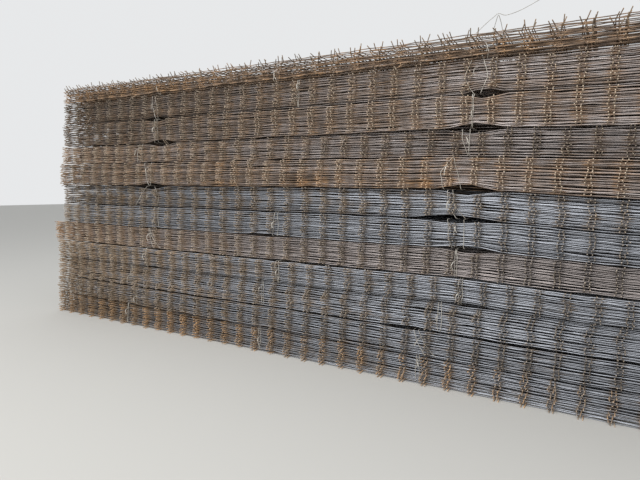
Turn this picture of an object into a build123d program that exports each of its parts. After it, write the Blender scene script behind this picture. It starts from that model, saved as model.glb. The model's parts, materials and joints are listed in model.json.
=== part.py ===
"""A tall stack of tied bundles of welded reinforcing mesh.

Sheets of steel wire mesh lie nested in pairs: one with its cross wires up and the next turned over, so that
the cross wires of both share one level. Ten or so pairs tied with binding wire make a bundle, and the bundles
lie on each other on the ground. X runs along the stack, Y across it, and Z is up. The origin is in the middle
of the stack's foot.
"""
from build123d import *
import os

os.makedirs("parts", exist_ok=True)

# Wire and grid of one sheet
wire_d = 6.0
weld_sink = 0.2
grid = 150.0
cross_wire_count = 40
long_wire_count = 15
long_wire_overhang = 75.0
cross_wire_overhang = 50.0

# Sheet pairs in each bundle, and how far each bundle lies off the stack's middle, from the ground up
pairs_in_bundle = (11, 9, 11, 9, 10, 10, 10, 11, 9, 11, 11, 8)
shift_along = (-107.0, -88.0, -90.0, -56.0, -118.0, 42.0, 34.0, 11.0, 41.0, 91.0, 90.0, 118.0)
shift_across = (5.0, -8.0, 10.0, -15.0, 6.0, -4.0, 15.0, -6.0, 4.0, -10.0, 8.0, 0.0)

# Gap cut between the sheet pairs of a bundle, measured in from its edge wires
gap_depth = 45.0

# Sheet pairs of the top bundle that are open between their long wires, under the grid of the uppermost sheet
open_pairs = 6

# Binding wire round the long edges of each bundle, and the bundles and sides where its twisted ends stand out
tie_d = 3.5
tie_clearance = 0.25
tie_reach = 110.0
tie_twist = 62.0
twisted_ties = ((4, -1), (7, 1))

# Where each bundle is tied, measured from the stack's left end, from the ground up
tie_places = (
    (915.0, 2404.0, 3670.0),
    (1050.0, 3700.0),
    (960.0, 2430.0, 3800.0),
    (1200.0, 2580.0, 3930.0),
    (1255.0, 3890.0),
    (1320.0, 2540.0, 3830.0),
    (1040.0, 3860.0),
    (1265.0, 3830.0),
    (1200.0, 3935.0),
    (1340.0, 3957.0),
    (1310.0, 2740.0, 3985.0),
    (1360.0, 2546.0, 4010.0),
)

# Openings that lifting slings left between bundles: the bundle below, the place measured from the stack's left
# end, half the length and the height
sling_gaps = (
    (10, 1350.0, 190.0, 44.0),
    (10, 4030.0, 150.0, 48.0),
    (9, 1385.0, 170.0, 48.0),
    (9, 3975.0, 190.0, 38.0),
    (7, 1252.0, 200.0, 48.0),
    (7, 3935.0, 190.0, 46.0),
    (6, 3860.0, 300.0, 42.0),
    (5, 3955.0, 210.0, 42.0),
)
sling_width = 60.0

# Loose tie wire over the top edge: its place measured from the stack's left end, then distances along from
# there and heights above the top sheet
tail_place = 3990.0
tail_route = ((-40.0, 0.0), (10.0, 45.0), (81.0, 97.0), (120.0, 76.0), (330.0, 150.0))
tail_bend = 4.0
loop_route = ((55.0, -8.0), (81.0, 88.0), (110.0, -8.0))
loop_bend = 4.0

# Sizes worked out from those above
level = wire_d - weld_sink
pair_height = wire_d + 2 * level
bundle_gap = tie_d + 2 * tie_clearance
bundle_count = len(pairs_in_bundle)
grid_length = (cross_wire_count - 1) * grid
grid_width = (long_wire_count - 1) * grid
sheet_length = grid_length + 2 * long_wire_overhang
sheet_width = grid_width + 2 * cross_wire_overhang
edge_y = (grid_width + wire_d) / 2


def bundle_floor(number):
    """Height of the underside of a bundle, with bundle 1 on the ground."""
    below = pairs_in_bundle[: number - 1]
    return sum(below) * pair_height + len(below) * bundle_gap


def bundle_top(number):
    """Height of the upper side of a bundle."""
    return bundle_floor(number) + pairs_in_bundle[number - 1] * pair_height


def place(number):
    """Where a bundle lies in the stack."""
    return Pos(shift_along[number - 1], shift_across[number - 1], bundle_floor(number))


def comb_outline(half_width, slot_depth, slot_count, height):
    """Outline of a bundle seen along one axis, with a slot at each level of cross wires."""
    corners = [(half_width, 0.0)]
    for slot in range(slot_count):
        foot = slot * pair_height + level
        head = foot + wire_d
        corners += [(half_width, foot), (half_width - slot_depth, foot)]
        corners += [(half_width - slot_depth, head), (half_width, head)]
    corners.append((half_width, height))
    mirrored = [(-across, up) for across, up in reversed(corners)]
    return make_face(Polyline(*corners, *mirrored, close=True))


def bundle_core(slot_count, height):
    """A bundle as one solid, with the gaps between its sheets cut in all round."""
    end_depth = long_wire_overhang - wire_d / 2
    side_view = comb_outline(edge_y, gap_depth, slot_count, height)
    end_view = comb_outline(sheet_length / 2, end_depth, slot_count, height)
    sides = extrude(Plane.YZ * side_view, sheet_length / 2, both=True)
    ends = extrude(Plane.XZ * end_view, edge_y, both=True)
    return sides & ends


def sling_opening(below, from_left, half_length, height):
    """The lens-shaped space that a sling pulled open between two bundles, through the whole width."""
    along = from_left - sheet_length / 2
    middle = bundle_top(below) + bundle_gap / 2
    flat = sling_width / 2
    rise = height / 2
    outline = Polyline(
        (-half_length, 0.0),
        (-flat, rise),
        (flat, rise),
        (half_length, 0.0),
        (flat, -rise),
        (-flat, -rise),
        close=True,
    )
    return Pos(along, 0, middle) * extrude(Plane.XZ * make_face(outline), sheet_width, both=True)


def grid_slots(height):
    """The open spaces between the long wires of the top bundle, from its first cross wire to its last."""
    floor = height - open_pairs * pair_height
    length = grid_length - wire_d
    side_limit = edge_y - gap_depth - wire_d
    slots = []
    for wire in range(long_wire_count - 1):
        start = wire * grid - grid_width / 2 + wire_d / 2
        right = max(start, -side_limit)
        left = min(start + grid - wire_d, side_limit)
        slot = Box(length, left - right, height, align=(Align.CENTER, Align.MIN, Align.MIN))
        slots.append(Pos(0, right, floor) * slot)
    return slots


def bundle(number):
    """One tied bundle in its place, opened where the slings went."""
    pairs = pairs_in_bundle[number - 1]
    if number == bundle_count:
        height = (pairs - 1) * pair_height + level
        solid = bundle_core(pairs - 1, height) - grid_slots(height)
    else:
        solid = bundle_core(pairs, pairs * pair_height)
    solid = place(number) * solid
    for gap in sling_gaps:
        if gap[0] in (number, number - 1):
            solid -= sling_opening(*gap)
    return solid


def top_sheet(first_wire, last_wire, start, end):
    """Part of the uppermost sheet: long wires lie on the cross wires and are fused to them."""
    sheet_floor = pairs_in_bundle[-1] * pair_height - level - wire_d
    cross = Box(wire_d, sheet_width, wire_d, align=(Align.CENTER, Align.CENTER, Align.MIN))
    along = Box(end - start, wire_d, level, align=(Align.MIN, Align.CENTER, Align.MIN))
    bars = []
    for wire in range(first_wire, last_wire + 1):
        bars.append(Pos(wire * grid - grid_length / 2, 0, sheet_floor) * cross)
    for wire in range(long_wire_count):
        bars.append(Pos(start, wire * grid - grid_width / 2, sheet_floor + wire_d) * along)
    return place(bundle_count) * (bars[0] + bars[1:])


def tie(number, from_left, side):
    """One binding wire that hooks round a long edge of a bundle."""
    height = pairs_in_bundle[number - 1] * pair_height
    inner = edge_y + tie_clearance
    outer = inner + tie_d
    tip = edge_y + tie_twist
    over = height + tie_clearance
    under = -tie_clearance - tie_d
    under_reach = tie_reach
    if number == 1:
        under = level + tie_clearance
        under_reach = gap_depth - tie_d
    over_hook = [(inner, over), (edge_y - tie_reach, over), (edge_y - tie_reach, over + tie_d)]
    over_hook.append((outer, over + tie_d))
    under_hook = [(outer, under), (edge_y - under_reach, under), (edge_y - under_reach, under + tie_d)]
    under_hook.append((inner, under + tie_d))
    twist = []
    if (number, side) in twisted_ties:
        middle = height / 2
        twist = [(outer, middle + tie_d), (tip, middle + tie_d), (tip, middle), (outer, middle)]
    outline = make_face(Polyline(*over_hook, *twist, *under_hook, close=True))
    hook = extrude(Plane.YZ * outline, tie_d / 2, both=True)
    if side < 0:
        hook = hook.mirror(Plane.XZ)
    along = from_left - sheet_length / 2 - shift_along[number - 1]
    return place(number) * Pos(along, 0, 0) * hook


def bent_wire(route, bend, across):
    """A loose wire over the top edge, as straight runs joined by bends."""
    top = bundle_top(bundle_count) + tie_clearance + tie_d / 2
    start = tail_place - sheet_length / 2
    points = [(start + along, across, top + up) for along, up in route]
    line = FilletPolyline(*points, radius=bend)
    section = Plane(origin=line @ 0, z_dir=line % 0)
    return sweep(section * Rectangle(tie_d, tie_d), path=line)


for number in range(1, bundle_count + 1):
    export_step(bundle(number), f"parts/bundle_{number:02d}.step")
    ties = [tie(number, from_left, side) for from_left in tie_places[number - 1] for side in (-1, 1)]
    export_step(Compound(children=ties), f"parts/binding_wires_{number:02d}.step")

middle_wire = cross_wire_count // 2
split = (middle_wire - 0.5) * grid - grid_length / 2
left_half = top_sheet(0, middle_wire - 1, -sheet_length / 2, split)
right_half = top_sheet(middle_wire, cross_wire_count - 1, split, sheet_length / 2)
export_step(left_half, "parts/top_sheet_left.step")
export_step(right_half, "parts/top_sheet_right.step")

front_edge = -grid_width / 2
tail = bent_wire(tail_route, tail_bend, front_edge)
loop = bent_wire(loop_route, loop_bend, front_edge + (wire_d + tie_d) / 2 + tie_clearance)
export_step(Compound(children=[tail, loop]), "parts/loose_tie_wire.step")
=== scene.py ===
import json
import math
import random

import bpy
from mathutils import Matrix, Vector

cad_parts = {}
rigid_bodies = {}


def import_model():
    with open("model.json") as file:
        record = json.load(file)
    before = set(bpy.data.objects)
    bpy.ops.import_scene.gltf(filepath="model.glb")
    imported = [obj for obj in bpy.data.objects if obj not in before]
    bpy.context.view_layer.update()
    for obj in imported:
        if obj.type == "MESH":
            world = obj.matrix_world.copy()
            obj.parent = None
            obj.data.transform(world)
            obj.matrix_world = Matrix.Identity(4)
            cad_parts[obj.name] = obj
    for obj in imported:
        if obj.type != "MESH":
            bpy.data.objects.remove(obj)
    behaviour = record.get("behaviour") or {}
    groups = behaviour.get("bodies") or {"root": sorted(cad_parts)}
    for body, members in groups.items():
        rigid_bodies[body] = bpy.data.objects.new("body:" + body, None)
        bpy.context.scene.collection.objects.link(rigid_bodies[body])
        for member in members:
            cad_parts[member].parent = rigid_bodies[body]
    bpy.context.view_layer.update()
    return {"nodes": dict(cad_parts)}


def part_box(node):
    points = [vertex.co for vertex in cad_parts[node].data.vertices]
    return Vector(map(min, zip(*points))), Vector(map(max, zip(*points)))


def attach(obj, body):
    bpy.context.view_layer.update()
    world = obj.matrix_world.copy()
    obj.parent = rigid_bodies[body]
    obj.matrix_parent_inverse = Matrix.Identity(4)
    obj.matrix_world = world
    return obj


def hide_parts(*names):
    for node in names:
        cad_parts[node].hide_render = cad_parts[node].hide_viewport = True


for leftover in list(bpy.data.objects):
    bpy.data.objects.remove(leftover)

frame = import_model()

# The view: from 1.25 m up and 3 m off the long side near its right end, to the left and a little down, so
# that the stack runs away to the left and its right end lies outside the picture.
eye = Vector((1.682, -4.133, 1.2545))
yaw_left = math.radians(29.62)
pitch_down = math.radians(5.84)
roll = math.radians(-0.684)
focal_px = 505.5
picture_width_px = 640
sensor_mm = 36.0


def add_object(name, data):
    """A new object in the scene."""
    made = bpy.data.objects.new(name, data)
    bpy.context.scene.collection.objects.link(made)
    return made


ahead = Vector((-math.sin(yaw_left) * math.cos(pitch_down), math.cos(yaw_left) * math.cos(pitch_down),
                -math.sin(pitch_down)))
level_right = Vector((math.cos(yaw_left), math.sin(yaw_left), 0))
level_down = ahead.cross(level_right)
picture_right = level_right * math.cos(roll) + level_down * math.sin(roll)
picture_down = level_down * math.cos(roll) - level_right * math.sin(roll)
turn = Matrix((picture_right, -picture_down, -ahead)).transposed()
camera_data = bpy.data.cameras.new("camera")
camera_data.sensor_width = sensor_mm
camera_data.lens = sensor_mm * focal_px / picture_width_px
camera = add_object("camera", camera_data)
camera.matrix_world = Matrix.Translation(eye) @ turn.to_4x4()
bpy.context.scene.camera = camera

# The floor and light: a plain pale floor and backdrop, one broad lamp high in front, and an even pale sky.
# What looks past the stack, straight, mirrored or through it, meets the plain backdrop and not the sky.
floor_size = 60.0
floor_colour = (0.56, 0.55, 0.52, 1)
floor_roughness = 0.9
sky_colour = (0.86, 0.88, 0.90, 1)
sky_strength = 0.75
backdrop_colour = (0.80, 0.81, 0.82, 1)
backdrop_strength = 1.0
lamp_place = Vector((-1.0, -7.0, 7.5))
lamp_aim = Vector((0, 0, 1))
lamp_size = 6.0
lamp_watts = 700.0


class Socket:
    """One output of a node. Arithmetic on it adds Math nodes to its tree."""

    def __init__(self, graph, socket):
        self.graph = graph
        self.socket = socket

    def math(self, operation, *values):
        return self.graph.add("ShaderNodeMath", {"operation": operation}, dict(enumerate(values)))["Value"]

    def __add__(self, other):
        return self.math("ADD", self, other)

    def __sub__(self, other):
        return self.math("SUBTRACT", self, other)

    def __rsub__(self, other):
        return self.math("SUBTRACT", other, self)

    def __mul__(self, other):
        return self.math("MULTIPLY", self, other)

    def __truediv__(self, other):
        return self.math("DIVIDE", self, other)

    def __gt__(self, other):
        return self.math("GREATER_THAN", self, other)

    def __lt__(self, other):
        return self.math("LESS_THAN", self, other)

    def __abs__(self):
        return self.math("ABSOLUTE", self)

    def __pow__(self, other):
        return self.math("POWER", self, other)

    def floor(self):
        return self.math("FLOOR", self)

    def limited(self, low=0.0, high=1.0):
        return self.math("MINIMUM", self.math("MAXIMUM", self, low), high)

    __radd__ = __add__
    __rmul__ = __mul__


class Outputs:
    """The outputs of one node, by name or by place."""

    def __init__(self, graph, node):
        self.graph = graph
        self.node = node

    def __getitem__(self, key):
        shown = [socket for socket in self.node.outputs if socket.enabled]
        if isinstance(key, int):
            return Socket(self.graph, shown[key])
        return Socket(self.graph, next(s for s in shown if key in (s.name, s.identifier)))


class Graph:
    """A node tree that grows by one call for each node."""

    def __init__(self, tree):
        self.tree = tree

    def add(self, kind, settings=None, values=None):
        node = self.tree.nodes.new(kind)
        for name, setting in (settings or {}).items():
            setattr(node, name, setting)
        shown = [socket for socket in node.inputs if socket.enabled]
        for key, value in (values or {}).items():
            if isinstance(key, int):
                socket = shown[key]
            else:
                socket = next(s for s in shown if key in (s.name, s.identifier))
            if isinstance(value, Socket):
                self.tree.links.new(value.socket, socket)
            elif isinstance(value, list):
                for one in value:
                    self.tree.links.new(one.socket, socket)
            else:
                socket.default_value = value
        return Outputs(self, node)


def new_material(name):
    """A material with an empty tree, and its graph."""
    material = bpy.data.materials.new(name)
    material.use_nodes = True
    material.node_tree.nodes.clear()
    return material, Graph(material.node_tree)


floor_mesh = bpy.data.meshes.new("floor")
reach = floor_size / 2
floor_mesh.from_pydata(
    [(-reach, -reach, 0), (reach, -reach, 0), (reach, reach, 0), (-reach, reach, 0)], [], [(0, 1, 2, 3)])
floor = add_object("floor", floor_mesh)
floor_material, g = new_material("pale floor")
surface = g.add("ShaderNodeBsdfPrincipled", None, {
    "Base Color": floor_colour, "Roughness": floor_roughness})["BSDF"]
g.add("ShaderNodeOutputMaterial", None, {"Surface": surface})
floor_mesh.materials.append(floor_material)

world = bpy.data.worlds.new("sky")
world.use_nodes = True
world.node_tree.nodes.clear()
g = Graph(world.node_tree)
seen = g.add("ShaderNodeLightPath")
straight = (seen["Is Camera Ray"] + seen["Is Glossy Ray"] + seen["Is Transmission Ray"]).limited()
sky = g.add("ShaderNodeBackground", None, {"Color": sky_colour, "Strength": sky_strength})["Background"]
backdrop = g.add("ShaderNodeBackground", None, {
    "Color": backdrop_colour, "Strength": backdrop_strength})["Background"]
both = g.add("ShaderNodeMixShader", None, {0: straight, 1: sky, 2: backdrop})["Shader"]
g.add("ShaderNodeOutputWorld", None, {"Surface": both})
bpy.context.scene.world = world

lamp_data = bpy.data.lights.new("softbox", "AREA")
lamp_data.size = lamp_size
lamp_data.energy = lamp_watts
lamp = add_object("softbox", lamp_data)
lamp.location = lamp_place
lamp.rotation_euler = (lamp_aim - lamp_place).to_track_quat("-Z", "Y").to_euler()

bpy.context.scene.view_settings.view_transform = "Standard"

# The mesh sheets: 240 sheets of 6 mm drawn wire, 15 long and 40 cross wires each, welded where they cross.
# They lie nested in pairs, the lower with its cross wires up and the upper turned over, so that the cross
# wires of both share one level. Eight to eleven pairs, tied, are a bundle.
wire = 0.006
weld_sink = 0.0002
grid = 0.150
cross_wires = 40
level = wire - weld_sink
pair_height = wire + 2 * level
bundle_names = sorted(name for name in frame["nodes"] if name.startswith("bundle_"))
top_sheet_nodes = ("top_sheet_left", "top_sheet_right")
first_low, first_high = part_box(bundle_names[0])
# How far a sheet's two edge wires lie from its middle
edge = (first_high.y - first_low.y - wire) / 2
long_wires = round(2 * edge / grid) + 1
top_low, top_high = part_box(top_sheet_nodes[0])
cross_overhang = (top_high.y - top_low.y) / 2 - edge
# How far from the stack's middle the bundles' ends begin
end_reach = 2.95


def new_tree(name, inputs):
    """An empty Geometry Nodes tree with named inputs: name, socket kind and default."""
    tree = bpy.data.node_groups.new(name, "GeometryNodeTree")
    tree.interface.new_socket("Geometry", in_out="INPUT", socket_type="NodeSocketGeometry")
    tree.interface.new_socket("Geometry", in_out="OUTPUT", socket_type="NodeSocketGeometry")
    for label, kind, default in inputs:
        socket = tree.interface.new_socket(label, in_out="INPUT", socket_type="NodeSocket" + kind)
        socket.default_value = default
    graph = Graph(tree)
    return graph, graph.add("NodeGroupInput")


def add_modifier(piece, graph, inputs):
    """Puts a tree on a piece and sets its named inputs by their identifiers."""
    modifier = piece.modifiers.new(graph.tree.name, "NODES")
    modifier.node_group = graph.tree
    sockets = {item.name: item.identifier for item in graph.tree.interface.items_tree
               if item.item_type == "SOCKET" and item.in_out == "INPUT"}
    for label, value in inputs.items():
        modifier[sockets[label]] = value


def vector(g, x, y, z):
    return g.add("ShaderNodeCombineXYZ", None, {0: x, 1: y, 2: z})["Vector"]


def parts(g, whole):
    """The X, Y and Z of a vector."""
    return g.add("ShaderNodeSeparateXYZ", None, {0: whole})


def point_place(g):
    """The X, Y and Z of each point, as it lies where the value is used."""
    return parts(g, g.add("GeometryNodeInputPosition")["Position"])


def noise(g, where, detail, output="Fac", scale=1.0):
    return g.add("ShaderNodeTexNoise", None, {"Vector": where, "Scale": scale, "Detail": detail})[output]


def noise_along(g, number, detail):
    return g.add("ShaderNodeTexNoise", {"noise_dimensions": "1D"}, {
        "W": number, "Scale": 1.0, "Detail": detail})["Fac"]


def chance(g, identity, seed, low=-1.0, high=1.0):
    """A random number that is the same for all points of one identity. Each use has a seed of its own."""
    return g.add("FunctionNodeRandomValue", {"data_type": "FLOAT"},
                 {"Min": low, "Max": high, "ID": identity, "Seed": seed})["Value"]


def store(g, geometry, label, value):
    return g.add("GeometryNodeStoreNamedAttribute", {"data_type": "FLOAT", "domain": "POINT"},
                 {"Geometry": geometry, "Name": label, "Value": value})["Geometry"]


def named(g, label):
    return g.add("GeometryNodeInputNamedAttribute", {"data_type": "FLOAT"}, {"Name": label})["Attribute"]


def move(g, geometry, x, y, z):
    return g.add("GeometryNodeSetPosition", None, {
        "Geometry": geometry, "Offset": vector(g, x, y, z)})["Geometry"]


def is_outer(lane):
    """1 for the two edge wires of a sheet, counted from 0, and 0 for the long wires between them."""
    return abs(lane - (long_wires - 1) / 2) > (long_wires / 2 - 1)


def wires_on_points(g, points, direction, segments):
    """A straight centre line of wire on each point, cut into segments."""
    line = g.add("GeometryNodeCurvePrimitiveLine", None, {
        "Start": vector(g, *[part * -1 for part in direction]), "End": vector(g, *direction)})["Curve"]
    line = g.add("GeometryNodeResampleCurve", {"mode": "COUNT"}, {
        "Curve": line, "Count": segments + 1})["Curve"]
    laid = g.add("GeometryNodeInstanceOnPoints", None, {"Points": points, "Instance": line})["Instances"]
    return g.add("GeometryNodeRealizeInstances", None, {"Geometry": laid})["Geometry"]


def sheet_laying_tree():
    """Centre lines of all wires of a bundle. Sheets are slightly out of line with each other."""
    g, inputs = new_tree("lay sheets", [
        ("Pairs", "Int", 10), ("Middle", "Vector", (0, 0, 0)), ("Half Length", "Float", 3.0),
        ("Seed", "Int", 0),
        ("Drift", "Float", 0.0025), ("Lean", "Float", 0.018), ("Spread", "Float", 0.026),
        ("Drift Across", "Float", 2.5), ("Lean Pace", "Float", 0.15), ("Seed Step", "Float", 13.7),
        ("Edge Segments", "Int", 80), ("Inner Segments", "Int", 8), ("Cross Segments", "Int", 3),
    ])
    seed = inputs["Seed"]
    number = g.add("GeometryNodeInputIndex")["Index"]
    middle = parts(g, inputs["Middle"])

    def sheet_points(wires_in_sheet, long):
        # Half a wire, or half a sheet, is added before rounding down, because the division isn't exact
        sheet = (number / wires_in_sheet + 0.5 / wires_in_sheet).floor()
        lane = number - sheet * wires_in_sheet
        pair = (sheet / 2 + 0.25).floor()
        upper = sheet - pair * 2
        slow = noise_along(g, sheet * inputs["Lean Pace"] + seed * inputs["Seed Step"], 2.0)
        along = middle["X"] + chance(g, sheet, seed) * inputs["Drift"] + (slow - 0.5) * inputs["Lean"] * 2
        along = along + (upper - 0.5) * inputs["Spread"]
        across = middle["Y"] + chance(g, sheet, seed + 1) * inputs["Drift"] * inputs["Drift Across"]
        height = middle["Z"] + pair * pair_height + wire / 2
        first = (1 - long) * (1 - cross_wires) * grid / 2
        place = vector(
            g, along + lane * ((1 - long) * grid) + first,
            across + (lane * grid - edge) * long, height + level + (upper * 2 - 1) * (level * long))
        points = g.add("GeometryNodePoints", None, {
            "Count": inputs["Pairs"] * (2 * wires_in_sheet), "Radius": 0.0, "Position": place})["Points"]
        for label, value in (("sheet", sheet), ("lane", lane), ("cross", 1.0 - long), ("sheet_x", along)):
            points = store(g, points, label, value)
        return points, lane

    points, lane = sheet_points(long_wires, 1)
    split = g.add("GeometryNodeSeparateGeometry", {"domain": "POINT"}, {
        "Geometry": points, "Selection": is_outer(lane)})
    half = inputs["Half Length"]
    edge_lines = wires_on_points(g, split["Selection"], (half, 0.0, 0.0), inputs["Edge Segments"])
    inner_lines = wires_on_points(g, split["Inverted"], (half, 0.0, 0.0), inputs["Inner Segments"])
    points, lane = sheet_points(cross_wires, 0)
    cross_lines = wires_on_points(g, points, (0.0, edge, 0.0), inputs["Cross Segments"])
    lines = g.add("GeometryNodeJoinGeometry", None, {0: [edge_lines, inner_lines, cross_lines]})["Geometry"]
    g.add("NodeGroupOutput", None, {0: lines})
    return g


def wire_bending_tree():
    """Wires are never quite straight: single wires bend between their welds, cut ends point all ways, and
    the whole stack sags a little towards its right end."""
    g, inputs = new_tree("bend wires", [
        ("Low X", "Float", -3.0), ("High X", "Float", 3.0), ("Low Z", "Float", 0.0),
        ("High Z", "Float", 1.0), ("Mid Height", "Float", 0.0), ("Seed", "Int", 0),
        ("Bend Out", "Float", 0.018), ("Bend Up", "Float", 0.013), ("End Bend", "Float", 0.014),
        ("Tip Lift", "Float", 0.25), ("Lift From", "Float", 0.0), ("Tip Scatter", "Float", 0.08),
        ("Tip Slant", "Float", 0.9), ("Shortest Tip", "Float", 0.86), ("Wave", "Float", 0.006),
        ("Sag", "Float", 0.055), ("Edge Nesting", "Float", 0.97), ("Inner Nesting", "Float", 1.02),
    ])
    cross = named(g, "cross")
    lane = named(g, "lane")
    seed = inputs["Seed"]
    number = g.add("GeometryNodeInputIndex")["Index"]
    place = point_place(g)
    share = g.add("GeometryNodeSplineParameter")["Factor"]
    end_share = 0.4999
    tip = abs(share - 0.5) > end_share
    side = (share > 0.5) * 2 - 1
    shape = store(g, inputs["Geometry"], "tip", tip)

    # A cross wire has four points: two at the edge wires, and its tips past them, each at its own slant
    lift_height, least_lift, lift_curve = 0.09, 0.35, 0.6
    slant_pace_along, slant_pace_up, slant_seed_step, level_slant = 3.0, 9.0, 5.3, 0.54
    swing_of_scatter, swing_of_lift = 0.9, 0.2
    risen = ((place["Z"] - inputs["Lift From"]) / lift_height).limited()
    lie = noise(g, vector(
        g, place["X"] * slant_pace_along + seed * slant_seed_step, side, place["Z"] * slant_pace_up), 2.0)
    lift = chance(g, number, seed + 8, least_lift, 1.0) ** lift_curve
    slant = chance(g, number, seed + 7) * inputs["Tip Scatter"]
    slant = slant + (lie - level_slant) * inputs["Tip Slant"] * 2
    slant = slant + lift * risen * inputs["Tip Lift"]
    swing = chance(g, number, seed + 6) * (
        inputs["Tip Scatter"] * swing_of_scatter + risen * inputs["Tip Lift"] * swing_of_lift)
    long_tip = cross_overhang * chance(g, number, seed + 5, inputs["Shortest Tip"], 1.0)
    outward = slant.math("COSINE", slant) * swing.math("COSINE", swing) * long_tip
    inner_point = side * (edge - edge / 3) * (1 - tip)
    shape = move(
        g, shape, swing.math("SINE", swing) * long_tip * tip * cross,
        (inner_point + outward * side * tip) * cross, slant.math("SINE", slant) * long_tip * tip * cross)

    # Single long wires bend up, down, in and out, and most of all at their ends
    bend_pace, lane_step, sheet_step, bend_seed_step, lane_offset = 5.6, 3.1, 4.7, 1.9, 7.3
    bend = g.add("ShaderNodeTexNoise", None, {
        "Vector": vector(g, place["X"] * bend_pace + lane * lane_step,
                         named(g, "sheet") * sheet_step + seed * bend_seed_step, lane * lane_offset),
        "Scale": 1.0, "Detail": 3.0, "Roughness": 0.6})["Color"]
    bend = parts(g, bend)
    loose = (1 - cross) * tip * inputs["End Bend"]
    shape = move(
        g, shape, 0.0,
        (bend["X"] - 0.5) * inputs["Bend Out"] * (1 - cross) * 2 + chance(g, number, seed + 9) * loose,
        (bend["Y"] - 0.5) * inputs["Bend Up"] * (1 - cross) * 2 + chance(g, number, seed + 10) * loose)

    # The tied sheets nest tighter than new ones, which leaves a dark line between bundles, but not at their
    # ends. In some stretches the edge wires are held firmly within the bundle's height
    loose_end = 0.25
    firm_pace, firm_seed_step, firm_from, firm_rise = 1.2, 3.3, 0.36, 5
    outer = is_outer(lane) * (1 - cross)
    from_end = ((end_reach - abs(place["X"])) / loose_end).limited()
    nesting = inputs["Edge Nesting"] - inputs["Inner Nesting"]
    nesting = inputs["Inner Nesting"] + nesting * (outer + cross) * from_end
    squeezed = (place["Z"] - inputs["Mid Height"]) * nesting + inputs["Mid Height"]
    held_in = squeezed.limited(inputs["Low Z"], inputs["High Z"])
    firm = noise_along(g, place["X"] * firm_pace + seed * firm_seed_step, 1.0)
    firm = ((firm - firm_from) * firm_rise).limited() * from_end
    squeezed = squeezed + (held_in - squeezed) * outer * firm
    shape = move(g, shape, 0.0, 0.0, squeezed - place["Z"])

    # The whole stack lies in slow waves, and sags in the middle of its height near the right end
    wave_scale = 1.3
    sag_from, sag_length, sag_height, sag_reach, foot = 0.75, 1.3, 1.15, 1.0, 0.1
    wave = parts(g, noise(g, g.add("GeometryNodeInputPosition")["Position"], 1.0, "Color", wave_scale))
    ramp = ((place["X"] - sag_from) / sag_length).limited()
    ramp = ramp * ramp * (3 - ramp * 2)
    belly = (1 - abs(place["Z"] - sag_height) / sag_reach).limited()
    sag = ramp * belly * inputs["Sag"]
    held = (place["Z"] / foot).limited()
    shape = move(
        g, shape, 0.0, (wave["X"] - 0.5) * inputs["Wave"] * 2,
        (wave["Y"] - 0.5) * inputs["Wave"] * held * 2 - sag)

    # Nothing passes the ends of the bundle or the ground
    kept = vector(
        g, place["X"].limited(inputs["Low X"], inputs["High X"]), place["Y"],
        place["Z"].math("MAXIMUM", place["Z"], wire / 2))
    shape = g.add("GeometryNodeSetPosition", None, {"Geometry": shape, "Position": kept})["Geometry"]
    g.add("NodeGroupOutput", None, {0: shape})
    return g


def sling_opening_tree():
    """A sling pulled the bundles apart here: wires above bow up and wires below bow down."""
    g, inputs = new_tree("sling opening", [
        ("Along", "Float", 0.0), ("Height", "Float", 1.0), ("Half Length", "Float", 0.2),
        ("Rise", "Float", 0.01), ("Fade", "Float", 0.07),
    ])
    place = point_place(g)
    out = (abs(place["X"] - inputs["Along"]) / inputs["Half Length"]).limited()
    bow = 1 - out * out * (3 - out * 2)
    above = place["Z"] - inputs["Height"]
    direction = (above > 0.0) * 2 - 1
    fade = (1 - abs(above) / inputs["Fade"]).limited()
    moved = move(g, inputs["Geometry"], 0.0, 0.0, bow * direction * fade * inputs["Rise"])
    g.add("NodeGroupOutput", None, {0: moved})
    return g


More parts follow.
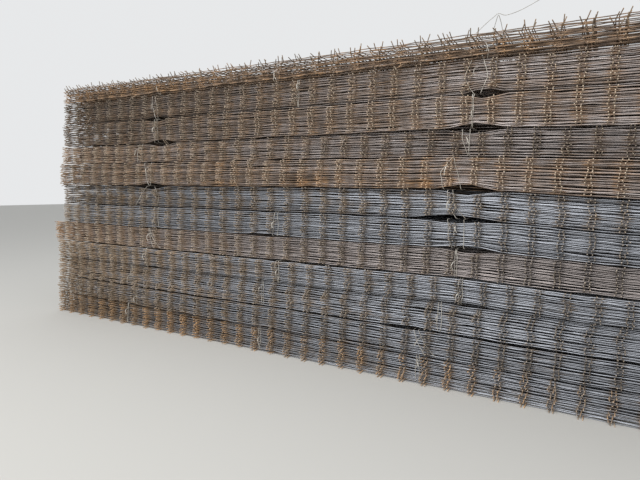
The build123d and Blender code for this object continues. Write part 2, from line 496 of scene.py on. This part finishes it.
def weather_tree():
    """How far the rust has gone: bare steel is 0 and brown all over is 1. Each sheet rusted in its own way,
    and the cut ends of cross wires more than the wires between them."""
    g, inputs = new_tree("weather", [
        ("Rust Left", "Float", 0.8), ("Rust Right", "Float", 0.5), ("Orange Left", "Float", 0.1),
        ("Orange Right", "Float", 0.1), ("Light Left", "Float", 0.5), ("Light Right", "Float", 0.5),
        ("Orange Ends", "Float", 0.1), ("Light Ends", "Float", 0.0), ("Seed", "Int", 0),
        ("Left End", "Float", 2.9), ("Seen Length", "Float", 4.2), ("Brightest", "Float", 1.3),
        ("Rust Curve", "Float", 0.6), ("Rust of Ends", "Float", 0.4), ("More on Ends", "Float", 0.12),
        ("Rust Patches", "Float", 0.9), ("Orange Patches", "Float", 1.1),
    ])
    rust_pace, rust_pace_up = 2.6, 9.0
    orange_pace, orange_pace_up, orange_offset = 1.7, 7.0, 31.0
    rust_by_sheet, orange_by_sheet, orange_by_lane = 0.14, 0.1, 0.12
    tone_by_sheet, tone_by_lane = 0.28, 0.08
    seed = inputs["Seed"]
    sheet = named(g, "sheet")
    lane = named(g, "lane")
    cross = named(g, "cross")
    place = point_place(g)
    right = ((place["X"] + inputs["Left End"]) / inputs["Seen Length"]).limited()

    def from_left(look, share):
        return inputs[look + " Left"] + (inputs[look + " Right"] - inputs[look + " Left"]) * share

    patch = noise(g, vector(
        g, place["X"] * rust_pace, place["Y"] * rust_pace, place["Z"] * rust_pace_up), 3.0)
    rust = from_left("Rust", right ** inputs["Rust Curve"]) * (1 + cross * inputs["Rust of Ends"])
    rust = rust + (patch - 0.5) * inputs["Rust Patches"] + chance(g, sheet, seed + 11) * rust_by_sheet
    rust = rust + cross * inputs["More on Ends"]
    patch = noise(g, vector(
        g, place["X"] * orange_pace + orange_offset, place["Y"] * orange_pace,
        place["Z"] * orange_pace_up), 3.0)
    orange = from_left("Orange", right) + (patch - 0.5) * inputs["Orange Patches"]
    orange = orange + chance(g, sheet, seed + 12) * orange_by_sheet
    orange = orange + cross * (inputs["Orange Ends"] + chance(g, lane, seed + 15) * orange_by_lane)
    tone = from_left("Light", right) + chance(g, sheet, seed + 13) * tone_by_sheet
    tone = tone + chance(g, lane, seed + 14) * tone_by_lane + cross * inputs["Light Ends"]
    shape = store(g, inputs["Geometry"], "rust", rust.limited())
    shape = store(g, shape, "orange", orange.limited())
    shape = store(g, shape, "tone", tone.limited(0.0, inputs["Brightest"]))

    # Long wires carry their place in the grid, whole at each weld. A cross wire counts as a weld all along
    any_weld = 3
    bay = (place["X"] - named(g, "sheet_x")) / grid + (cross_wires - 1) / 2 + 1
    shape = store(g, shape, "bay", bay * (1 - cross) + cross * any_weld)
    g.add("NodeGroupOutput", None, {0: shape})
    return g


def rust_patch_tree():
    """A patch of fresh orange rust, where water ran off a sling opening or stood at a sheet's end."""
    g, inputs = new_tree("rust patch", [
        ("Along", "Float", 0.0), ("Height", "Float", 1.0), ("Half Length", "Float", 0.1),
        ("Half Height", "Float", 0.05), ("Soft Edge", "Float", 1.4), ("Orange", "Float", 0.32),
        ("Rust", "Float", 0.3),
    ])
    place = point_place(g)
    aside = abs(place["X"] - inputs["Along"]) / inputs["Half Length"]
    away = abs(place["Z"] - inputs["Height"]) / inputs["Half Height"]
    patch = (inputs["Soft Edge"] - (aside * aside + away * away) ** 0.5).limited()
    orange = (named(g, "orange") + patch * inputs["Orange"]).limited()
    rust = (named(g, "rust") + patch * inputs["Rust"]).limited()
    shape = store(g, inputs["Geometry"], "orange", orange)
    shape = store(g, shape, "rust", rust)
    g.add("NodeGroupOutput", None, {0: shape})
    return g


def wire_section_tree():
    """Round wire along the centre lines: five sides where it shows, four for the long wires inside."""
    g, inputs = new_tree("wire section", [
        ("Wire", "Float", wire), ("Shown Sides", "Int", 5), ("Inner Sides", "Int", 4),
        ("Finish", "Material", None),
    ])
    lane = named(g, "lane")
    inner = (abs(lane - (long_wires - 1) / 2) < (long_wires / 2 - 1)) * (1 - named(g, "cross"))
    split = g.add("GeometryNodeSeparateGeometry", {"domain": "CURVE"}, {
        "Geometry": inputs["Geometry"], "Selection": inner})
    made = []
    for lines, sides in (("Inverted", "Shown Sides"), ("Selection", "Inner Sides")):
        ring = g.add("GeometryNodeCurvePrimitiveCircle", {"mode": "RADIUS"}, {
            "Resolution": inputs[sides], "Radius": inputs["Wire"] / 2})["Curve"]
        made.append(g.add("GeometryNodeCurveToMesh", None, {
            "Curve": split[lines], "Profile Curve": ring, "Fill Caps": True})["Mesh"])
    shape = g.add("GeometryNodeJoinGeometry", None, {0: made})["Geometry"]
    shape = g.add("GeometryNodeRealizeInstances", None, {"Geometry": shape})["Geometry"]
    shape = g.add("GeometryNodeSetMaterial", None, {
        "Geometry": shape, "Material": inputs["Finish"]})["Geometry"]
    g.add("NodeGroupOutput", None, {0: shape})
    return g


def mixed(g, share, first, second):
    return g.add("ShaderNodeMix", {"data_type": "RGBA"}, {
        "Factor": share, "A": first, "B": second})["Result"]


def bumped(g, height, strength, distance):
    return g.add("ShaderNodeBump", None, {
        "Height": height, "Strength": strength, "Distance": distance})["Normal"]


def wire_finish(name, bare, brown, dark, orange, dry):
    """Weathered drawn wire: bare steel, brown rust that is thickest at welds and cut ends, darker pits, and
    fresh orange rust. Cut ends are dry and greyer. A painted highlight lies on the cut ends, and painted
    shade lies between and at the welds and deep inside the bundles."""
    material, g = new_material(name)
    where = g.add("ShaderNodeTexCoord")["Object"]

    def attribute(label):
        return g.add("ShaderNodeAttribute", {"attribute_name": label})["Fac"]

    fine = noise(g, where, 3.0, scale=160.0)
    medium = noise(g, where, 3.0, scale=22.0)
    ends = attribute("tip")
    cross = attribute("cross")
    worn = attribute("rust")

    # How near the next weld is, sharply and softly
    weld_reach, weld_fade = 0.012, 0.022
    near_reach, near_fade = 0.020, 0.035
    bay = attribute("bay")
    to_weld = abs(bay.math("FRACT", bay + 0.5) - 0.5) * grid
    weld = 1 - ((to_weld - weld_reach) / weld_fade).limited()
    near = 1 - ((to_weld - near_reach) / near_fade).limited()

    # Rust spreads in patches and specks, most of all at welds and cut ends, and is orange where it is fresh
    rust_gain, rust_start, rust_in_specks, rust_in_patches = 1.5, 0.25, 0.8, 1.0
    rust_at_weld, rust_at_end, bare_between = 0.35, 0.1, 0.25
    fresh_gain, fresh_start, fresh_in_patches, fresh_in_specks, fresh_at_weld = 1.6, 0.5, 1.4, 0.6, 0.12
    rust = worn * rust_gain - rust_start + (fine - 0.5) * rust_in_specks + (medium - 0.5) * rust_in_patches
    rust = (rust + weld * rust_at_weld + ends * rust_at_end - (1 - near) * bare_between).limited()
    fresh = attribute("orange") * fresh_gain - fresh_start + (medium - 0.5) * fresh_in_patches
    fresh = fresh + (fine - 0.5) * fresh_in_specks + weld * fresh_at_weld
    fresh = fresh.limited() * rust
    pit_from, pit_rise, pit_share = 0.52, 5, 0.6
    pits = ((fine - pit_from) * pit_rise).limited() * rust * pit_share
    dry_share, fresh_on_ends = 0.85, 0.55
    colour = mixed(g, rust, bare, brown)
    colour = mixed(g, pits, colour, dark)
    colour = mixed(g, fresh, colour, orange)
    colour = mixed(g, cross * (dry_share - fresh * fresh_on_ends), colour, dry)

    # Painted shade: wires deep in the bundles are darkened, but less just under the open top
    unshaded_depth, painted_shade_depth, unshaded_top, painted_shade_top, painted_inner_shade = 0.03, 0.08, 0.012, 0.12, 0.5
    spot = parts(g, where)
    from_face = edge + wire - abs(spot["Y"])
    deep = from_face.math("MINIMUM", from_face, end_reach - abs(spot["X"]))
    deep = ((deep - unshaded_depth) / painted_shade_depth).limited()
    deep = deep * ((top_high.z - unshaded_top - spot["Z"]) / painted_shade_top).limited()

    # Painted highlight: cut ends are lightened, rusty ones more. Painted shade: rusty wires are darkened
    # between the welds, and bare ones at them, where the cut ends cast their shadow
    painted_end_highlight, painted_rusty_end_highlight, painted_shade_between_welds, painted_stub_shadow_at_welds = 0.5, 0.3, 0.6, 0.3
    # Painted highlight on the cut ends
    light = (attribute("tone") + 0.5) * (1 + ends * (painted_end_highlight + worn * painted_rusty_end_highlight))
    # Painted shade deep inside the bundles
    light = light * (1 - deep * painted_inner_shade)
    # Painted shade between the welds, and painted shadow of the cut ends at the welds
    light = light * (1 - (1 - cross) * ((1 - near) * worn * painted_shade_between_welds + weld * (1 - worn) * painted_stub_shadow_at_welds))
    colour = g.add("ShaderNodeVectorMath", {"operation": "SCALE"}, {
        "Vector": colour, "Scale": light})["Vector"]
    clean_roughness, rusty_roughness, clean_metal = 0.42, 0.45, 0.6
    bump = bumped(g, fine * rust, 0.5, 0.0004)
    surface = g.add("ShaderNodeBsdfPrincipled", None, {
        "Base Color": colour, "Roughness": clean_roughness + rust * rusty_roughness,
        "Metallic": (1 - rust) * clean_metal, "Normal": bump})["BSDF"]
    g.add("ShaderNodeOutputMaterial", None, {"Surface": surface})
    return material


finishes = {
    "mesh_brown": wire_finish(
        "brown mesh wire", bare=(0.42, 0.375, 0.36, 1), brown=(0.29, 0.20, 0.138, 1),
        dark=(0.085, 0.055, 0.038, 1), orange=(0.43, 0.245, 0.11, 1), dry=(0.24, 0.203, 0.158, 1)),
    "mesh_grey": wire_finish(
        "grey mesh wire", bare=(0.37, 0.385, 0.42, 1), brown=(0.29, 0.21, 0.142, 1),
        dark=(0.085, 0.06, 0.045, 1), orange=(0.42, 0.245, 0.11, 1), dry=(0.225, 0.186, 0.142, 1)),
}

# For each bundle, from the ground up: finish, rust at the left and right end, orange rust left and right,
# lightness left and right, and orange rust on the cut ends
looks = (
    "Rust Left", "Rust Right", "Orange Left", "Orange Right", "Light Left", "Light Right", "Orange Ends")
weathering = (
    ("mesh_grey", 1.00, 0.20, 0.12, 0.05, 0.44, 0.56, 0.66),
    ("mesh_grey", 1.00, 0.12, 0.10, 0.02, 0.74, 0.40, 0.02),
    ("mesh_grey", 1.00, 0.10, 0.08, 0.02, 0.90, 0.58, 0.02),
    ("mesh_grey", 1.05, 0.10, 0.15, 0.02, 0.92, 0.50, 0.02),
    ("mesh_brown", 1.05, 0.00, 0.10, -0.05, 1.02, 0.46, 0.06),
    ("mesh_grey", 0.60, 0.02, 0.00, 0.00, 0.72, 0.54, -0.03),
    ("mesh_grey", 0.70, 0.20, 0.04, 0.00, 0.40, 0.72, -0.03),
    ("mesh_brown", 0.90, 0.60, 0.15, 0.20, 0.62, 0.92, 0.00),
    ("mesh_brown", 0.95, 0.35, 0.12, -0.05, 0.98, 0.42, -0.03),
    ("mesh_brown", 0.95, 0.55, 0.10, 0.12, 0.20, 0.90, 0.02),
    ("mesh_brown", 1.00, 0.50, 0.10, 0.10, 0.12, 0.74, 0.06),
    ("mesh_brown", 1.05, 1.05, 0.42, 0.38, 0.40, 0.52, 0.22),
)
# Openings that lifting slings left: bundle below, middle along the stack, half length and height
sling_openings = (
    (11, -1.640, 0.160, 0.012),
    (10, -1.650, 0.190, 0.044),
    (10, -0.360, 0.060, 0.012),
    (10, 1.020, 0.140, 0.056),
    (9, -1.615, 0.190, 0.056),
    (9, 0.975, 0.190, 0.056),
    (8, -1.754, 0.220, 0.016),
    (8, -0.430, 0.090, 0.012),
    (7, -1.748, 0.200, 0.054),
    (7, 0.935, 0.190, 0.062),
    (6, 0.860, 0.300, 0.042),
    (5, -1.720, 0.180, 0.014),
    (5, -0.531, 0.365, 0.016),
    (5, 0.955, 0.210, 0.042),
    (4, -0.440, 0.090, 0.012),
    (3, -1.741, 0.200, 0.016),
    (3, 0.963, 0.240, 0.022),
    (2, 0.600, 0.200, 0.012),
)
# Patches of fresh rust: bundle, middle along the stack, middle height, half length and half height
rust_patches = (
    (8, -2.850, 1.320, 0.130, 0.060),
    (8, -0.960, 1.285, 0.210, 0.035),
    (8, -1.010, 1.400, 0.060, 0.110),
    (8, -0.170, 1.310, 0.180, 0.060),
    (8, 0.680, 1.290, 0.110, 0.045),
    (9, -1.010, 1.530, 0.060, 0.110),
    (5, -2.980, 0.800, 0.160, 0.080),
    (11, 0.420, 1.900, 0.050, 0.090),
    (11, 2.020, 1.930, 0.045, 0.060),
)
# How far single bundles differ: how light their cut ends are, and how much these are bent out of line
light_ends = {12: -0.30, 9: -0.15, 4: -0.12, 3: -0.12, 2: -0.12, 1: 0.10}
tip_scatter = {12: 0.34, 11: 0.18, 9: 0.13}
# The top bundle carries no weight, so its sheets and wires lie looser, and its cut ends are bent up
loose_lay = {"Drift": 0.008, "Lean": 0.040, "Spread": 0.036}
loose_bends = {"Bend Out": 0.020, "Bend Up": 0.017, "Shortest Tip": 0.80, "Tip Lift": 1.15}
lift_below_top = 0.115
# How far firmly held edge wires stay inside their bundle's height, how far inside its ends the long wires
# end, and how far inside them everything stays
edge_rise = 0.0045
end_trim = 0.0075
ends_clear = 0.001
seed_step = 17


def finished_piece(name, piece):
    """Turns a piece, with its modifiers or its wire thickness, into a plain mesh that rides on the stack."""
    evaluated = piece.evaluated_get(bpy.context.evaluated_depsgraph_get())
    mesh = bpy.data.meshes.new_from_object(evaluated)
    mesh.name = name
    bpy.data.objects.remove(piece)
    made = add_object(name, mesh)
    mesh.shade_smooth()
    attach(made, "root")
    return made


laying = sheet_laying_tree()
bending = wire_bending_tree()
opening = sling_opening_tree()
weather = weather_tree()
rust_patch = rust_patch_tree()
section = wire_section_tree()

for number, (name, (slot, *look)) in enumerate(zip(bundle_names, weathering), start=1):
    low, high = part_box(name)
    middle = (low + high) / 2
    pairs = round((high.z - low.z) / pair_height)
    lay = {"Middle": (middle.x, middle.y, low.z), "Half Length": (high.x - low.x) / 2 - end_trim}
    bends = {"Low X": low.x + ends_clear, "High X": high.x - ends_clear, "Low Z": low.z + edge_rise,
             "High Z": high.z - edge_rise, "Mid Height": middle.z}
    if number == 1:
        # It lies on the ground, so it nests downwards only
        bends.update({"Low Z": low.z + wire / 2, "Mid Height": 0.0})
    if number in tip_scatter:
        bends["Tip Scatter"] = tip_scatter[number]
    top_bundle = number == len(bundle_names)
    if top_bundle:
        # Its uppermost sheet has nodes of its own, so its own node is lower by most of a pair
        pairs += 1
        lay.update(loose_lay)
        bends.update(loose_bends)
        bends.update({"High Z": top_high.z, "Mid Height": high.z, "Lift From": high.z - lift_below_top})
    piece = add_object("laying " + name, bpy.data.meshes.new("empty"))
    add_modifier(piece, laying, {"Pairs": pairs, "Seed": seed_step * number, **lay})
    add_modifier(piece, bending, {"Seed": seed_step * number, **bends})
    for below, along, half_length, height in sling_openings:
        if below in (number, number - 1):
            mid_gap = (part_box(bundle_names[below - 1])[1].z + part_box(bundle_names[below])[0].z) / 2
            add_modifier(piece, opening, {
                "Along": along, "Height": mid_gap, "Half Length": half_length, "Rise": height / 2})
    add_modifier(piece, weather, {
        **dict(zip(looks, look)), "Light Ends": light_ends.get(number, 0.0), "Seed": seed_step * number})
    for rusty, along, height, half_length, half_height in rust_patches:
        if rusty == number:
            add_modifier(piece, rust_patch, {
                "Along": along, "Height": height, "Half Length": half_length, "Half Height": half_height})
    add_modifier(piece, section, {"Finish": finishes[slot]})
    made = finished_piece("sheets_of_" + name, piece)
    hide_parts(name)
    if top_bundle:
        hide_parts(*top_sheet_nodes)

# The binding wires: soft annealed wire a little over 3 mm thick. Each is hooked round a long edge of its
# bundle, doubled, and twisted tight by hand, so that it has a knot with two loose ends. Some are slack.
tie_wire = 0.0032
hook_reach = 0.105
tie_apart = 0.012
tie_out = 0.0035
farthest_out = 3.2
strand_stray = 0.005
strand_spread = (0.006, 0.016)
downs = (0.12, 0.30, 0.50, 0.70, 0.88)
knot_out = 0.016
knot_rise = 0.030
knot_arc = 1.9
knot_lean = 0.022
knot_drop = (0.020, 0.045)
knot_height = (0.45, 0.85)
twist_radius = 0.0022
twist_flatness = 0.4
twist_turns = 2.5
twist_steps = 8
end_stray = 0.014
end_length = (0.010, 0.024)
ends_apart = 0.004
ties_seed = 5
# How far both strands of a slack tie lie from its place: at the top edge, half way down and at the foot
slack_ties = {
    (12, 2): ((-0.020, -0.026, -0.012), (0.012, 0.022, 0.010)),
    (11, 0): ((-0.020, -0.022, 0.016), (0.018, 0.028, 0.040)),
    (11, 2): ((-0.050, -0.085, -0.030), (0.020, 0.048, 0.008)),
    (10, 0): ((-0.012, 0.000, -0.020), (0.018, 0.026, 0.030)),
    (10, 1): ((-0.004, 0.000, 0.002), (0.006, 0.004, -0.006)),
    (9, 0): ((-0.080, -0.100, -0.108), (-0.040, -0.046, -0.044)),
    (9, 1): ((0.008, 0.010, 0.010), (-0.040, -0.030, 0.004)),
    (8, 0): ((-0.074, -0.060, -0.025), (0.007, 0.003, -0.008)),
    (8, 1): ((0.020, -0.055, -0.030), (0.024, 0.052, 0.074)),
    (7, 0): ((0.153, 0.070, 0.000), (0.243, 0.290, 0.268)),
    (7, 1): ((-0.040, -0.036, 0.020), (-0.010, 0.000, 0.075)),
    (6, 0): ((-0.024, -0.022, -0.022), (0.022, 0.024, 0.022)),
    (6, 1): ((0.010, 0.000, -0.010), (0.040, 0.044, 0.030)),
    (6, 2): ((0.000, 0.008, 0.034), (0.100, 0.104, 0.106)),
    (5, 0): ((-0.045, -0.024, 0.010), (-0.035, 0.002, 0.096)),
    (4, 1): ((-0.012, -0.004, 0.012), (0.010, 0.020, 0.004)),
    (3, 0): ((0.006, 0.000, -0.006), (0.020, 0.022, 0.010)),
    (2, 1): ((-0.060, -0.030, 0.020), (-0.030, 0.010, 0.090)),
    (1, 0): ((0.006, 0.000, -0.012), (0.014, 0.010, 0.000)),
}


def tie_places(node):
    """Where along its bundle a node's ties stand."""
    along = sorted(vertex.co.x for vertex in node.data.vertices)
    gaps = [(before, here) for before, here in zip(along, along[1:]) if here - before > tie_apart]
    starts = [along[0]] + [here for before, here in gaps]
    ends = [before for before, here in gaps] + [along[-1]]
    return [(first + last) / 2 for first, last in zip(starts, ends)]


def tie_strand(place, side, face, low, high, offsets, draw):
    """One strand, from its hook over the top edge down the face to its hook under the bottom edge."""
    top, half, bottom = (place + offset for offset in offsets)
    points = [(top, -hook_reach, high), (top, -wire, high), (top, tie_out, high - tie_out)]
    for down in downs:
        before, after = (top, half) if down < 0.5 else (half, bottom)
        share = down * 2 if down < 0.5 else down * 2 - 1
        along = before + (after - before) * share + draw.uniform(-strand_stray, strand_stray)
        points.append((along, draw.uniform(tie_out, tie_out * farthest_out), high + (low - high) * down))
    points += [(bottom, tie_out, low + tie_out), (bottom, -wire, low), (bottom, -hook_reach, low)]
    return [Vector((x, side * (face + out), z)) for x, out, z in points]


def tie_knot(x, side, face, z, draw):
    """The twisted ends of a tie: two wires wound round each other, standing out and hanging down."""
    lean = draw.uniform(-knot_lean, knot_lean)
    drop = draw.uniform(*knot_drop)
    turns = []
    for strand in range(2):
        points = []
        for step in range(twist_steps + 1):
            share = step / twist_steps
            turn = 2 * math.pi * (twist_turns * share + strand / 2)
            out = knot_out + knot_rise * math.sin(share * knot_arc)
            middle = Vector((x + lean * share, out, z - drop * share * share))
            winding = Vector((math.cos(turn), twist_flatness * math.sin(turn), math.sin(turn)))
            points.append(middle + winding * twist_radius)
        end = points[-1] + Vector(
            (draw.uniform(-end_stray, end_stray), -ends_apart * strand, -draw.uniform(*end_length)))
        start = Vector((x + (strand * 2 - 1) * ends_apart, tie_out, z + wire))
        turns.append([Vector((p.x, side * (face + p.y), p.z)) for p in [start, *points, end]])
    return turns


def tie_finish(name, clean, dull, rust):
    """Annealed wire: pale where it was rubbed, duller elsewhere, with a few specks of rust."""
    rubbed_from, rubbed_rise, speck_from, speck_rise, speck_share = 0.42, 6, 0.60, 9, 0.7
    clean_roughness, rusty_roughness, metal = 0.45, 0.4, 0.35
    material, g = new_material(name)
    where = g.add("ShaderNodeTexCoord")["Object"]
    broad = noise(g, where, 2.0, scale=18.0)
    fine = noise(g, where, 3.0, scale=210.0)
    rubbed = ((broad - rubbed_from) * rubbed_rise).limited()
    specks = ((fine - speck_from) * speck_rise).limited() * speck_share
    colour = mixed(g, specks, mixed(g, rubbed, dull, clean), rust)
    bump = bumped(g, fine, 0.3, 0.0002)
    surface = g.add("ShaderNodeBsdfPrincipled", None, {
        "Base Color": colour, "Roughness": clean_roughness + specks * rusty_roughness, "Metallic": metal,
        "Normal": bump})["BSDF"]
    g.add("ShaderNodeOutputMaterial", None, {"Surface": surface})
    return material


def wire_piece(name, lines, finish, node_name):
    """A plain mesh of round wire along smooth lines near the given places, in place of a node."""
    curve = bpy.data.curves.new(name, "CURVE")
    curve.dimensions = "3D"
    curve.bevel_depth = tie_wire / 2
    curve.bevel_resolution = 0
    curve.use_fill_caps = True
    curve.materials.append(finish)
    for places, fineness in lines:
        line = curve.splines.new("NURBS")
        line.points.add(len(places) - 1)
        for point, place in zip(line.points, places):
            point.co = (*place, 1.0)
        line.order_u = 3
        line.use_endpoint_u = True
        line.resolution_u = fineness
    made = finished_piece(name, add_object(name, curve))
    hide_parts(node_name)


tie_steel = tie_finish(
    "binding wire", clean=(0.84, 0.80, 0.72, 1), dull=(0.50, 0.46, 0.40, 1), rust=(0.30, 0.20, 0.12, 1))
strand_fineness, knot_fineness = 2, 1
for number, name in enumerate(bundle_names, start=1):
    node_name = name.replace("bundle", "binding_wires")
    low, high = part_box(name)
    if number == len(bundle_names):
        high = top_high
    # Nothing fits under the bundle on the ground, so its ties hook into the gap of its lowest pair
    hook_low = level + wire / 2 if number == 1 else low.z - tie_wire / 2
    hook_high = high.z + tie_wire / 2
    middle_y = (low.y + high.y) / 2
    draw = random.Random(ties_seed + number)
    lines = []
    for order, place in enumerate(tie_places(frame["nodes"][node_name])):
        for side in (-1, 1):
            face = edge + wire / 2 + side * middle_y
            spread = draw.uniform(*strand_spread)
            plain = ((-spread / 2, -spread, -spread / 2), (spread / 2, spread, spread / 2))
            offsets = slack_ties.get((number, order), plain) if side < 0 else plain
            for strand in offsets:
                strand_line = tie_strand(place, side, face, hook_low, hook_high, strand, draw)
                lines.append((strand_line, strand_fineness))
            knot_x = place + (offsets[0][1] + offsets[1][1]) / 2
            knot_z = low.z + (high.z - low.z) * draw.uniform(*knot_height)
            lines += [(turn, knot_fineness) for turn in tie_knot(knot_x, side, face, knot_z, draw)]
    wire_piece(name.replace("bundle", "ties_of_bundle"), lines, tie_steel, node_name)

# The broken tie: a loose end that springs up over the top edge, and a small loop beside it. It is the same
# annealed wire, weathered duller than the ties on the face.
loose_low, loose_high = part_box("loose_tie_wire")
loose_start = loose_low.x + tie_wire
tail_route = (
    (0.0, 0.0), (0.050, 0.045), (0.100, 0.080), (0.121, 0.097), (0.140, 0.088), (0.160, 0.076),
    (0.225, 0.088), (0.290, 0.112), (0.3695, 0.1495),
)
loop_route = (
    (0.095, -0.004), (0.108, 0.045), (0.118, 0.084), (0.124, 0.088), (0.130, 0.070), (0.140, 0.040),
    (0.149, -0.004),
)
tail_y = loose_low.y + tie_wire / 2
loop_y = loose_high.y - tie_wire / 2
loose_z = top_high.z + tie_wire / 2
loose_fineness = 4
dull_steel = tie_finish(
    "loose binding wire", clean=(0.42, 0.40, 0.36, 1), dull=(0.24, 0.22, 0.19, 1),
    rust=(0.26, 0.17, 0.10, 1))
lines = []
for route, across in ((tail_route, tail_y), (loop_route, loop_y)):
    places = [Vector((loose_start + along, across, loose_z + up)) for along, up in route]
    lines.append((places, loose_fineness))
wire_piece("loose_wire_end", lines, dull_steel, "loose_tie_wire")
